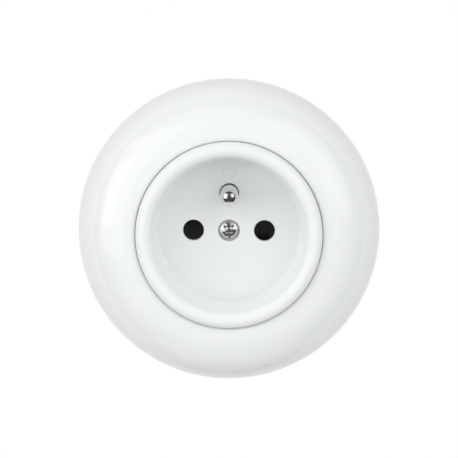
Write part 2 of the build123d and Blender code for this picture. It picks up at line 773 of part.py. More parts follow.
def make_deck_screw(index):
    """A small tapping screw that fastens the deck to the housing."""
    x, z = polar(deck_screw_circle_radius, deck_screw_angle + 180 * index)
    tip = deck_floor_height - deck_screw_length
    with BuildPart() as screw:
        with BuildSketch(section_at(x, z)):
            with BuildLine():
                Polyline(
                    (0, tip),
                    (deck_screw_diameter / 4, tip),
                    (deck_screw_diameter / 2, tip + deck_screw_diameter / 2),
                    (deck_screw_diameter / 2, deck_floor_height),
                    (deck_screw_head_diameter / 2, deck_floor_height),
                    (deck_screw_head_diameter / 2, deck_floor_height + deck_screw_head_height / 2),
                    (deck_screw_head_diameter / 3, deck_floor_height + deck_screw_head_height),
                    (0, deck_floor_height + deck_screw_head_height),
                    close=True,
                )
            make_face()
        revolve(axis=axis_at(x, z))
    screw.part.label = "deck_screw_" + str(index + 1)
    return screw.part


def make_rivet(index):
    """A hollow rivet through the ring and an ear of the housing, with its tail rolled over."""
    x, z = polar(rivet_circle_radius, (index + 0.5) * 360 / rivet_count)
    tail = -housing_flange_thickness
    head_radius = rivet_head_diameter / 2
    with BuildPart() as rivet:
        with BuildSketch(section_at(x, z)):
            with BuildLine():
                Polyline(
                    (0, ring_front + rivet_head_height),
                    (rivet_diameter / 2, ring_front + rivet_head_height),
                    (head_radius, ring_front),
                    (rivet_diameter / 2, ring_front),
                    (rivet_diameter / 2, tail),
                    (head_radius, tail),
                    (rivet_bore_diameter / 2, tail - rivet_head_height),
                    (rivet_bore_diameter / 2, 0),
                    (0, 0),
                    close=True,
                )
            make_face()
        revolve(axis=axis_at(x, z))
    rivet.part.label = "ring_rivet_" + str(index + 1)
    return rivet.part


pieces = [
    outer_frame.part,
    centre_cover.part,
    cover_screw.part,
    cover_nut.part,
    mounting_ring.part,
    base_housing.part,
    contact_deck.part,
    rotary_shutter.part,
    shutter_spring.part,
    earth_pin.part,
    earth_strap.part,
]
for name, side in (("live", 1), ("neutral", -1)):
    pieces.append(make_contact(name, side))
    pieces.append(make_clip(name, side))
for name, (x, z) in zip(terminal_names, terminal_places):
    pieces.append(make_clamp_plate(name, x, z))
    pieces.append(make_terminal_screw(name, x, z))
for index in range(2):
    pieces.append(make_deck_screw(index))
for index in range(rivet_count):
    pieces.append(make_rivet(index))

os.makedirs("parts", exist_ok=True)
for piece in pieces:
    export_step(piece, f"parts/{piece.label}.step")
    print(piece.label, round(piece.volume, 1))
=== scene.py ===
"""Dresses the round wall socket: white frame and cover, bright screw and pin, black shutter."""

import json
import logging
import math
from dataclasses import dataclass
from enum import Enum

import bpy
from mathutils import Matrix, Vector

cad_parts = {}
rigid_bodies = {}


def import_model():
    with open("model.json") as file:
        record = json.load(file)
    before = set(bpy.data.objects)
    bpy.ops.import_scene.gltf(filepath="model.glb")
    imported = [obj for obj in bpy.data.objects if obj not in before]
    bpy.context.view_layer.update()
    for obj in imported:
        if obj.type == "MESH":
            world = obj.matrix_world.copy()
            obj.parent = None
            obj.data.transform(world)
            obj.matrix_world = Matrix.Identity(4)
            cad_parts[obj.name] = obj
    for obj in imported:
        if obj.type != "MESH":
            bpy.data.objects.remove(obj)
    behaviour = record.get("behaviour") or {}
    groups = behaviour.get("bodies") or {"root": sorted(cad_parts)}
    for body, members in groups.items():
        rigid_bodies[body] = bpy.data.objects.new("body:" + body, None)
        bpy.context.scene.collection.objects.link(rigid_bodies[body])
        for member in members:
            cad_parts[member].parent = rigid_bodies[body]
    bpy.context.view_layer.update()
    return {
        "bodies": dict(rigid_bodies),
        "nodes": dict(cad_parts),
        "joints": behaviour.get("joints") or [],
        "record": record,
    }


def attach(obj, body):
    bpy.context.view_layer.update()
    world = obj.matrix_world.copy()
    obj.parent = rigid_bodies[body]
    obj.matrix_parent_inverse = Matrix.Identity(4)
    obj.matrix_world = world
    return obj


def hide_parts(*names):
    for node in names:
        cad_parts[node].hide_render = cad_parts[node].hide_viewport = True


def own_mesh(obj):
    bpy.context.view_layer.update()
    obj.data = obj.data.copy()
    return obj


Profile = list[tuple[float, float]]
Triple = tuple[float, float, float]
Colour = Triple
Piece = bpy.types.Object

MM = 0.001
NEAR = 0.000001
SOCKET_BODY = "socket"
FRONT = (0.0, -1.0, 0.0)
RAYS = ("Camera", "Glossy", "Transmission")
WIRES = ("live", "neutral", "earth")
RIVET_COUNT = 4
OVERSHOOT = 1.0
NOISE_MIDDLE = 0.5
BLOCK_EDGE_STEPS = 3
SOFT_EDGE_STEPS = 2
SOFT_EDGE_ANGLE = 40.0
SMOOTH_ANGLE = 32.0
FLAT_ANGLE = 0.6

log = logging.getLogger("wall_socket")


# Shader maths


class Sock:
    """A node's output that takes Python arithmetic."""

    def __init__(self, graph: "Graph", socket: bpy.types.NodeSocket) -> None:
        """Keeps the graph that new nodes go into, and the output."""
        self.graph = graph
        self.socket = socket

    def maths(self, operation: str, *values: "Sock | float", clamp: bool = False) -> "Sock":
        """Adds a Math node.

        Args:
            operation: The node's operation.
            values: Its inputs, in order.
            clamp: Whether the result is held between 0 and 1.

        Returns:
            The node's output.
        """
        settings = {"operation": operation, "use_clamp": clamp}
        return self.graph.node("ShaderNodeMath", settings, dict(enumerate(values)))

    def __add__(self, other: "Sock | float") -> "Sock":
        """self + other."""
        return self.maths("ADD", self, other)

    __radd__ = __add__

    def __sub__(self, other: "Sock | float") -> "Sock":
        """self - other."""
        return self.maths("SUBTRACT", self, other)

    def __rsub__(self, other: "Sock | float") -> "Sock":
        """other - self."""
        return self.maths("SUBTRACT", other, self)

    def __mul__(self, other: "Sock | float") -> "Sock":
        """self * other."""
        return self.maths("MULTIPLY", self, other)

    __rmul__ = __mul__

    def __abs__(self) -> "Sock":
        """The value without its sign."""
        return self.maths("ABSOLUTE", self)

    def below(self, limit: float, soft: float) -> "Sock":
        """1 where the value is under a limit and 0 past it.

        Args:
            limit: The middle of the step.
            soft: How far the step reaches to each side.

        Returns:
            The value of the step.
        """
        settings = {"interpolation_type": "SMOOTHSTEP"}
        step = {
            "Value": self,
            "From Min": limit - soft,
            "From Max": limit + soft,
            "To Min": 1.0,
            "To Max": 0.0,
        }
        return self.graph.node("ShaderNodeMapRange", settings, step)


class Graph:
    """A material's or the world's node tree, with the numbers of the Mix node's colour sockets."""

    FIRST_COLOUR = 6
    SECOND_COLOUR = 7
    MIXED_COLOUR = 2

    def __init__(self, name: str, tree: bpy.types.NodeTree | None = None) -> None:
        """Empties the world's tree, or makes a new material if there is no tree.

        Args:
            name: The new material's name.
            tree: The world's node tree.
        """
        self.material = None
        if tree is None:
            self.material = bpy.data.materials.new(name)
            self.material.use_nodes = True
        self.tree = tree or self.material.node_tree
        self.tree.nodes.clear()
        kind = "ShaderNodeOutputMaterial" if self.material else "ShaderNodeOutputWorld"
        self.output = self.tree.nodes.new(kind)

    def node(
        self, kind: str, settings: dict | None = None, inputs: dict | None = None, output: int | str = 0
    ) -> Sock:
        """Adds one node.

        Args:
            kind: The node's type.
            settings: Its own settings, set first.
            inputs: Its sockets by name or number, each a value or another node's output.
            output: The socket that is returned.

        Returns:
            One of the node's outputs.
        """
        made = self.tree.nodes.new(kind)
        for key, value in (settings or {}).items():
            setattr(made, key, value)
        for key, value in (inputs or {}).items():
            if isinstance(value, Sock):
                self.tree.links.new(value.socket, made.inputs[key])
            else:
                made.inputs[key].default_value = value
        return Sock(self, made.outputs[output])

    def place(self) -> Sock:
        """The point on the piece, in metres."""
        return self.node("ShaderNodeTexCoord", output="Object")

    def part(self, vector: Sock, axis: str) -> Sock:
        """One of a vector's three parts."""
        return self.node("ShaderNodeSeparateXYZ", None, {"Vector": vector}, output=axis)

    def noise(self, size: float, detail: float, stretch: Triple = (1.0, 1.0, 1.0)) -> Sock:
        """Noise of about 0.5 in the middle.

        Args:
            size: How large the grains are, in metres.
            detail: How many finer octaves there are.
            stretch: How much finer the grain is along each axis.

        Returns:
            The noise value.
        """
        moved = self.node("ShaderNodeMapping", None, {"Vector": self.place(), "Scale": stretch})
        inputs = {"Vector": moved, "Scale": 1.0 / size, "Detail": detail}
        return self.node("ShaderNodeTexNoise", None, inputs)

    def mixed(self, share: Sock, first: Colour | Sock, second: Colour) -> Sock:
        """A colour between two others.

        Args:
            share: How much of the second colour there is.
            first: The first colour, or a node's output.
            second: The second colour.

        Returns:
            The mixed colour.
        """
        if not isinstance(first, Sock):
            first = (*first, 1.0)
        inputs = {"Factor": share, self.FIRST_COLOUR: first, self.SECOND_COLOUR: (*second, 1.0)}
        return self.node("ShaderNodeMix", {"data_type": "RGBA"}, inputs, output=self.MIXED_COLOUR)

    def bump(self, height: Sock, depth: float) -> Sock:
        """A normal bent by a height of so many metres."""
        return self.node("ShaderNodeBump", None, {"Height": height, "Distance": depth})

    def surface(self, tone: Sock, rough: Sock | float, **others: Sock | float) -> bpy.types.Material:
        """Closes the material with a Principled shader.

        Args:
            tone: The base colour.
            rough: The roughness.
            others: The shader's other sockets by name.

        Returns:
            The finished material.
        """
        inputs = {"Base Color": tone, "Roughness": rough, **others}
        self.close(self.node("ShaderNodeBsdfPrincipled", None, inputs))
        return self.material

    def close(self, shader: Sock) -> None:
        """Links a shader to the output."""
        self.tree.links.new(shader.socket, self.output.inputs["Surface"])


# Finishes


def dimmed(colour: Colour, share: float) -> Colour:
    """A colour at a share of its strength."""
    return tuple(share * value for value in colour)


@dataclass(frozen=True)
class Mark:
    """A short fine scratch on a surface that faces the room, in millimetres and degrees."""

    x: float
    z: float
    length: float
    width: float
    turn: float
    colour: Colour = (0.66, 0.66, 0.66)
    roughness: float = 0.35

    def mask(self, graph: Graph) -> Sock:
        """Finds the scratch on the piece.

        Args:
            graph: The material's nodes.

        Returns:
            1 on the scratch and 0 off it.
        """
        inputs = {
            "Vector": graph.place(),
            "Location": (self.x * MM, 0.0, self.z * MM),
            "Rotation": (0.0, math.radians(self.turn), 0.0),
        }
        local = graph.node("ShaderNodeMapping", {"vector_type": "TEXTURE"}, inputs)
        along = graph.part(local, "X")
        across = graph.part(local, "Z")
        on_length = abs(along).below(self.length / 2 * MM, self.length / 6 * MM)
        on_width = abs(across).below(self.width / 2 * MM, self.width / 3 * MM)
        return on_length * on_width


@dataclass(frozen=True)
class Finish:
    """One tone with faint clouds in it and in the roughness, over a fine relief, its sizes in metres."""

    name: str
    colour: Colour
    roughness: float
    rough_spread: float
    cloud_size: float
    cloud_detail: float
    cloud_shade: float
    relief_size: float
    relief_detail: float
    relief_depth: float
    relief_stretch: Triple = (1.0, 1.0, 1.0)
    metallic: float = 0.0
    index: float = 1.5
    mark: Mark | None = None

    def material(self) -> bpy.types.Material:
        """Builds the finish.

        Returns:
            The finished material.
        """
        graph = Graph(self.name)
        cloud = graph.noise(self.cloud_size, self.cloud_detail)
        tone = graph.mixed(cloud, self.colour, dimmed(self.colour, self.cloud_shade))
        rough = self.roughness + (cloud - NOISE_MIDDLE) * self.rough_spread
        relief = graph.noise(self.relief_size, self.relief_detail, self.relief_stretch)
        if self.mark:
            scratch = self.mark.mask(graph)
            tone = graph.mixed(scratch, tone, self.mark.colour)
            rough = rough + scratch * self.mark.roughness
        bent = graph.bump(relief, self.relief_depth)
        return graph.surface(tone, rough, Normal=bent, Metallic=self.metallic, IOR=self.index)


@dataclass(frozen=True)
class GlossPlastic(Finish):
    """Polished moulded plastic with the faint waviness of a moulding."""

    roughness: float = 0.06
    rough_spread: float = 0.05
    cloud_size: float = 0.012
    cloud_detail: float = 2.0
    cloud_shade: float = 0.985
    relief_size: float = 0.004
    relief_detail: float = 1.0
    relief_depth: float = 0.0000003


@dataclass(frozen=True)
class MattePlastic(Finish):
    """Spark-eroded moulded plastic: fine grain, rubbed smoother in places."""

    roughness: float = 0.5
    rough_spread: float = 0.2
    cloud_size: float = 0.009
    cloud_detail: float = 3.0
    cloud_shade: float = 0.9
    relief_size: float = 0.00035
    relief_detail: float = 2.0
    relief_depth: float = 0.00001
    index: float = 1.48


@dataclass(frozen=True)
class BrightMetal(Finish):
    """Turned and plated metal, nearly a mirror, with faint lathe lines."""

    roughness: float = 0.08
    rough_spread: float = 0.06
    cloud_size: float = 0.0015
    cloud_detail: float = 3.0
    cloud_shade: float = 0.93
    relief_size: float = 0.0012
    relief_detail: float = 2.0
    relief_depth: float = 0.0000015
    relief_stretch: Triple = (1.0, 14.0, 1.0)
    metallic: float = 1.0


@dataclass(frozen=True)
class SheetMetal:
    """Rolled strip or plate, with a grain along X and clouded plating or tarnish."""

    name: str
    colour: Colour
    cloud_colour: Colour
    cloud_size: float
    roughness: float = 0.35
    cloud_detail: float = 4.0
    cloud_start: float = 0.35
    cloud_gain: float = 2.4
    cloud_knee: float = 0.1
    cloud_spread: float = 0.25
    grain_size: float = 0.0018
    grain_detail: float = 3.0
    grain_stretch: Triple = (0.15, 6.0, 6.0)
    grain_spread: float = 0.1
    grain_depth: float = 0.000004

    def material(self) -> bpy.types.Material:
        """Builds the finish.

        Returns:
            The finished material.
        """
        graph = Graph(self.name)
        cloud = graph.noise(self.cloud_size, self.cloud_detail)
        grain = graph.noise(self.grain_size, self.grain_detail, self.grain_stretch)
        raised = (cloud - self.cloud_start) * self.cloud_gain
        share = raised.maths("SMOOTH_MIN", raised, 1.0, self.cloud_knee, clamp=True)
        tone = graph.mixed(share, self.colour, self.cloud_colour)
        rough = self.roughness + (cloud - NOISE_MIDDLE) * self.cloud_spread
        rough = rough + (grain - NOISE_MIDDLE) * self.grain_spread
        return graph.surface(tone, rough, Metallic=1.0, Normal=graph.bump(grain, self.grain_depth))


FRAME_MARK = Mark(x=10.05, z=-35.25, length=2.1, width=0.16, turn=-4.0)
WHITE: Colour = (0.921, 0.932, 0.933)
# Lighter than WHITE: a painted highlight standing in for the light that the raised marks' edges catch.
MARK_PAINTED_HIGHLIGHT_WHITE: Colour = (0.985, 0.988, 0.985)
FINISHES = {
    "frame_plastic": GlossPlastic("frame_gloss_white", WHITE, mark=FRAME_MARK),
    "cover_plastic": GlossPlastic("cover_gloss_white", WHITE, roughness=0.36),
    # The raised marks: their higher roughness is a real finish, and their lighter white is a painted
    # highlight.
    "marks_painted_highlight": GlossPlastic("mark_painted_highlight_white", MARK_PAINTED_HIGHLIGHT_WHITE, roughness=0.35),
    "bright_nickel": BrightMetal("polished_nickel", (0.82, 0.82, 0.81)),
    "zinc_steel": SheetMetal("zinc_plated_steel", (0.62, 0.63, 0.64), (0.5, 0.52, 0.55), 0.003),
    "housing_plastic": MattePlastic("housing_light_grey", (0.66, 0.65, 0.62)),
    "deck_plastic": MattePlastic("deck_black", (0.02, 0.02, 0.022), 0.55),
    "shutter_plastic": MattePlastic("shutter_black", (0.007, 0.009, 0.01), 0.5),
    "spring_steel": SheetMetal("drawn_spring_steel", (0.5, 0.5, 0.5), (0.42, 0.41, 0.4), 0.001, 0.28),
    "contact_brass": SheetMetal("rolled_brass", (0.76, 0.6, 0.3), (0.66, 0.48, 0.22), 0.002, 0.3),
}


class Wardrobe:
    """Makes each finish once, gives it to the pieces and seats them."""

    def __init__(self) -> None:
        """Starts with nothing made."""
        self.made: dict[str, bpy.types.Material] = {}

    def dress(self, piece: Piece, slot: str) -> None:
        """Gives a piece one of the finishes.

        Args:
            piece: The object.
            slot: A slot of the record, or the marks' finish, whose lighter white is a painted highlight.
        """
        if slot not in self.made:
            self.made[slot] = FINISHES[slot].material()
        piece.data.materials.clear()
        piece.data.materials.append(self.made[slot])

    def seat(self, piece: Piece, slot: str, *nodes: str, finish: str = "") -> None:
        """Puts a finished piece on the socket, in place of the CAD nodes that it stands for.

        Args:
            piece: The object.
            slot: The record's slot.
            nodes: The CAD nodes that it replaces.
            finish: Its own finish, where that isn't the slot's.
        """
        self.dress(piece, finish or slot)
        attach(piece, SOCKET_BODY)
        if nodes:
            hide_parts(*nodes)
        log.info("%s: %d faces, on %s", piece.name, len(piece.data.polygons), SOCKET_BODY)


# Workshop


class Cut(Enum):
    """What one solid does to another."""

    AWAY = "DIFFERENCE"
    JOINED = "UNION"


def arc(centre: tuple[float, float], radius: float, start: float, end: float, count: int) -> Profile:
    """Points along an arc.

    Args:
        centre: Its centre, as radius and height.
        radius: Its own radius.
        start: The first angle in degrees.
        end: The last angle in degrees.
        count: How many points there are.

    Returns:
        The points, both ends with them.
    """
    angles = [math.radians(start + (end - start) * i / (count - 1)) for i in range(count)]
    return [(centre[0] + radius * math.cos(a), centre[1] + radius * math.sin(a)) for a in angles]


def deselect() -> None:
    """Leaves nothing selected."""
    if bpy.context.object and bpy.context.object.mode != "OBJECT":
        bpy.ops.object.mode_set(mode="OBJECT")
    bpy.ops.object.select_all(action="DESELECT")


def pick(piece: Piece) -> None:
    """Selects one object alone and makes it the active one.

    Args:
        piece: The object.
    """
    deselect()
    piece.select_set(True)
    bpy.context.view_layer.objects.active = piece


def edit_all(piece: Piece) -> None:
    """Opens one object in edit mode, with all of it selected.

    Args:
        piece: The object.
    """
    pick(piece)
    bpy.ops.object.mode_set(mode="EDIT")
    bpy.ops.mesh.select_all(action="SELECT")


def weld() -> None:
    """Joins doubled points of the mesh in edit mode, faces it outwards and leaves edit mode."""
    bpy.ops.mesh.select_all(action="SELECT")
    bpy.ops.mesh.remove_doubles(threshold=NEAR)
    bpy.ops.mesh.normals_make_consistent(inside=False)
    bpy.ops.object.mode_set(mode="OBJECT")


def settle(piece: Piece) -> None:
    """Puts an object's place, turn and size into its mesh."""
    pick(piece)
    bpy.ops.object.transform_apply(location=True, rotation=True, scale=True)


def smooth(piece: Piece) -> Piece:
    """Shades an object smooth, apart from its sharp edges.

    Args:
        piece: The object.

    Returns:
        The same object.
    """
    pick(piece)
    bpy.ops.object.shade_smooth_by_angle(angle=math.radians(SMOOTH_ANGLE))
    return piece


def soften(piece: Piece, width: float) -> None:
    """Rounds an object's sharp edges.

    Args:
        piece: The object.
        width: The width of the rounding, in millimetres.
    """
    pick(piece)
    modifier = piece.modifiers.new("edges", "BEVEL")
    modifier.width = width * MM
    modifier.segments = SOFT_EDGE_STEPS
    modifier.limit_method = "ANGLE"
    modifier.angle_limit = math.radians(SOFT_EDGE_ANGLE)
    bpy.ops.object.modifier_apply(modifier=modifier.name)


def drawn(name: str, outline: Profile, x: float = 0.0, z: float = 0.0) -> Piece:
    """Draws an outline from point to point, in the level plane through an axis square to the wall.

    Args:
        name: The new object's name.
        outline: Radius and height of each point, in millimetres.
        x: The axis's X.
        z: The axis's Z.

    Returns:
        The object, left in edit mode with all of it selected.
    """
    deselect()
    first_radius, first_height = outline[0]
    location = ((x + first_radius) * MM, -first_height * MM, z * MM)
    bpy.ops.mesh.primitive_plane_add(size=MM, location=location)
    piece = bpy.context.object
    piece.name = name
    settle(piece)
    edit_all(piece)
    bpy.ops.mesh.merge(type="CENTER")
    for (radius, height), (next_radius, next_height) in zip(outline, outline[1:]):
        step = ((next_radius - radius) * MM, -(next_height - height) * MM, 0.0)
        bpy.ops.mesh.extrude_vertices_move(TRANSFORM_OT_translate={"value": step})
    bpy.ops.mesh.select_all(action="SELECT")
    return piece


def turned(name: str, profile: Profile, steps: int, x: float = 0.0, z: float = 0.0) -> Piece:
    """Turns a profile about an axis square to the wall, as on a lathe.

    Args:
        name: The new object's name.
        profile: Radius and height of each point, in millimetres. It ends on the axis or where it began.
        steps: How many steps go round.
        x: The axis's X.
        z: The axis's Z.

    Returns:
        The closed solid.
    """
    piece = drawn(name, profile, x, z)
    bpy.ops.mesh.spin(steps=steps, angle=math.tau, center=(x * MM, 0.0, z * MM), axis=FRONT)
    weld()
    return smooth(piece)


def block(name: str, low: Triple, high: Triple, edge: float = 0.0, turn: float = 0.0) -> Piece:
    """A box between two corners, with bevelled edges, turned about its own middle in the wall's plane.

    Args:
        name: The new object's name.
        low: X, height and Z of the lowest corner, in millimetres.
        high: X, height and Z of the highest corner.
        edge: The width of its bevels.
        turn: Degrees counterclockwise as seen from the room.

    Returns:
        The box.
    """
    deselect()
    middle = [(a + b) / 2 * MM for a, b in zip(low, high)]
    bpy.ops.mesh.primitive_cube_add(size=1.0, location=(middle[0], -middle[1], middle[2]))
    piece = bpy.context.object
    piece.name = name
    piece.scale = tuple((b - a) * MM for a, b in zip(low, high))
    piece.rotation_euler = (0.0, math.radians(-turn), 0.0)
    settle(piece)
    if edge:
        edit_all(piece)
        bpy.ops.mesh.bevel(offset=edge * MM, segments=BLOCK_EDGE_STEPS, affect="EDGES")
        bpy.ops.object.mode_set(mode="OBJECT")
    return smooth(piece)


def combine(piece: Piece, tool: Piece, how: Cut) -> None:
    """Cuts one solid with another, or joins them, and throws the tool away.

    Args:
        piece: The object that stays.
        tool: The other solid.
        how: What the tool does.
    """
    pick(piece)
    modifier = piece.modifiers.new("work", "BOOLEAN")
    modifier.operation = how.value
    modifier.solver = "EXACT"
    modifier.object = tool
    bpy.ops.object.modifier_apply(modifier=modifier.name)
    bpy.data.objects.remove(tool)


def together(name: str, parts: list[Piece]) -> Piece:
    """Joins separate solids into one object, each solid kept as it is.

    Args:
        name: The object's new name.
        parts: The solids.

    Returns:
        The joined object.
    """
    deselect()
    for part in parts:
        part.select_set(True)
    bpy.context.view_layer.objects.active = parts[0]
    bpy.ops.object.join()
    parts[0].name = name
    return parts[0]


def refined(node: str, name: str, edge: float) -> Piece:
    """A smooth copy of a CAD node with its facets merged and its edges softened.

    Args:
        node: The CAD node.
        name: The new object's name.
        edge: The width of the softened edges, in millimetres.

    Returns:
        The new object.
    """
    piece = bpy.data.objects.new(name, bpy.data.objects[node].data.copy())
    bpy.context.scene.collection.objects.link(piece)
    edit_all(piece)
    bpy.ops.mesh.remove_doubles(threshold=NEAR)
    bpy.ops.mesh.dissolve_limited(angle_limit=math.radians(FLAT_ANGLE))
    bpy.ops.object.mode_set(mode="OBJECT")
    if edge:
        soften(piece, edge)
    return smooth(piece)


# The socket


@dataclass
class OuterFrame:
    """The domed white ring on the wall."""

    wardrobe: Wardrobe
    radius: float = 40.5
    height: float = 17.2
    foot: float = 1.0
    wall: float = 2.6
    bore_radius: float = 24.55
    crown_tightening: float = 0.65
    edge_radius: float = 1.0
    ledge_width: float = 2.0
    ledge_height: float = 12.0
    ledge_thickness: float = 2.0
    collar_radius: float = 26.8
    collar_foot: float = 1.2
    rib_count: int = 8
    rib_wall: float = 1.2
    rib_height: float = 5.0
    rim_edge: float = 0.15
    outer_points: int = 45
    inner_points: int = 27
    edge_points: int = 8
    steps: int = 144

    def arch(self, inset: float, count: int) -> Profile:
        """The dome's half section as a steep flank and a crown that run into each other.

        Args:
            inset: How far inside the outer surface it lies.
            count: How many points the crown has. The flank has a third of them.

        Returns:
            The points, from the rim up to the crown.
        """
        top = self.bore_radius + self.edge_radius
        width = self.radius - top
        crown = width - self.crown_tightening
        rise = self.height - self.foot - crown
        flank = (width**2 + rise**2 - crown**2) / (2 * self.crown_tightening)
        meet = math.degrees(math.atan2(rise, flank - width))
        low = arc((self.radius - flank, self.foot), flank - inset, 0, meet, count // 3)
        return [*low, *arc((top, self.height - crown), crown - inset, meet, 90, count)[1:]]

    def profile(self) -> Profile:
        """The closed half section, outside first and the hollow after it.

        Returns:
            Its points.
        """
        edge_centre = (self.bore_radius + self.edge_radius, self.height - self.edge_radius)
        edge = arc(edge_centre, self.edge_radius, 90, 180, self.edge_points)
        inner = [p for p in self.arch(self.wall, self.inner_points) if p[0] > self.collar_radius]
        ledge_radius = self.bore_radius - self.ledge_width
        under = self.ledge_height - self.ledge_thickness
        rim = self.rim_edge
        return [
            (self.radius - rim, 0.0),
            (self.radius, rim),
            *self.arch(0.0, self.outer_points),
            *edge[1:],
            (self.bore_radius, self.ledge_height),
            (ledge_radius, self.ledge_height),
            (ledge_radius, under),
            (self.bore_radius, under),
            (self.bore_radius, self.collar_foot),
            (self.collar_radius, self.collar_foot),
            (self.collar_radius, inner[-1][1]),
            *reversed(inner),
            (self.radius - self.wall, 0.0),
            (self.radius - rim, 0.0),
        ]

    def web_profile(self, start: float, end: float) -> Profile:
        """The outline of a web that hangs in the dome.

        Args:
            start: The radius where it begins.
            end: The radius where it ends.

        Returns:
            Its points, not closed.
        """
        roof = self.arch(self.wall / 2, self.inner_points)
        roof = [p for p in roof if start < p[0] < end and p[1] > self.rib_height]
        return [(start, self.rib_height), (roof[0][0], self.rib_height), *roof, (start, roof[-1][1])]

    def rib(self, index: int) -> Piece:
        """One radial web, outlined, thickened and turned to its place.

        Args:
            index: Which of the webs it is.

        Returns:
            The web's solid.
        """
        piece = drawn("rib", self.web_profile(self.collar_radius - self.rib_wall / 2, self.radius))
        bpy.ops.mesh.remove_doubles(threshold=NEAR)
        bpy.ops.mesh.edge_face_add()
        thickness = (0.0, 0.0, self.rib_wall * MM)
        bpy.ops.mesh.extrude_region_move(TRANSFORM_OT_translate={"value": thickness})
        bpy.ops.mesh.select_all(action="SELECT")
        bpy.ops.mesh.normals_make_consistent(inside=False)
        bpy.ops.transform.translate(value=(0.0, 0.0, -self.rib_wall / 2 * MM))
        bpy.ops.object.mode_set(mode="OBJECT")
        angle = 360 / self.rib_count * (index + 0.5)
        piece.rotation_euler = (0.0, math.radians(-angle), 0.0)
        settle(piece)
        return piece

    def build(self) -> None:
        """Turns the shell, joins its hoop and its webs to it and seats it."""
        shell = turned("frame_shell", self.profile(), self.steps)
        hoop_radius = (self.collar_radius + self.radius - self.wall) / 2
        hoop_outline = self.web_profile(hoop_radius - self.rib_wall / 2, hoop_radius + self.rib_wall / 2)
        hoop = turned("hoop", [*hoop_outline, hoop_outline[0]], self.steps // 2)
        combine(shell, hoop, Cut.JOINED)
        for index in range(self.rib_count):
            combine(shell, self.rib(index), Cut.JOINED)
        smooth(shell)
        self.wardrobe.seat(shell, "frame_plastic", "outer_frame")


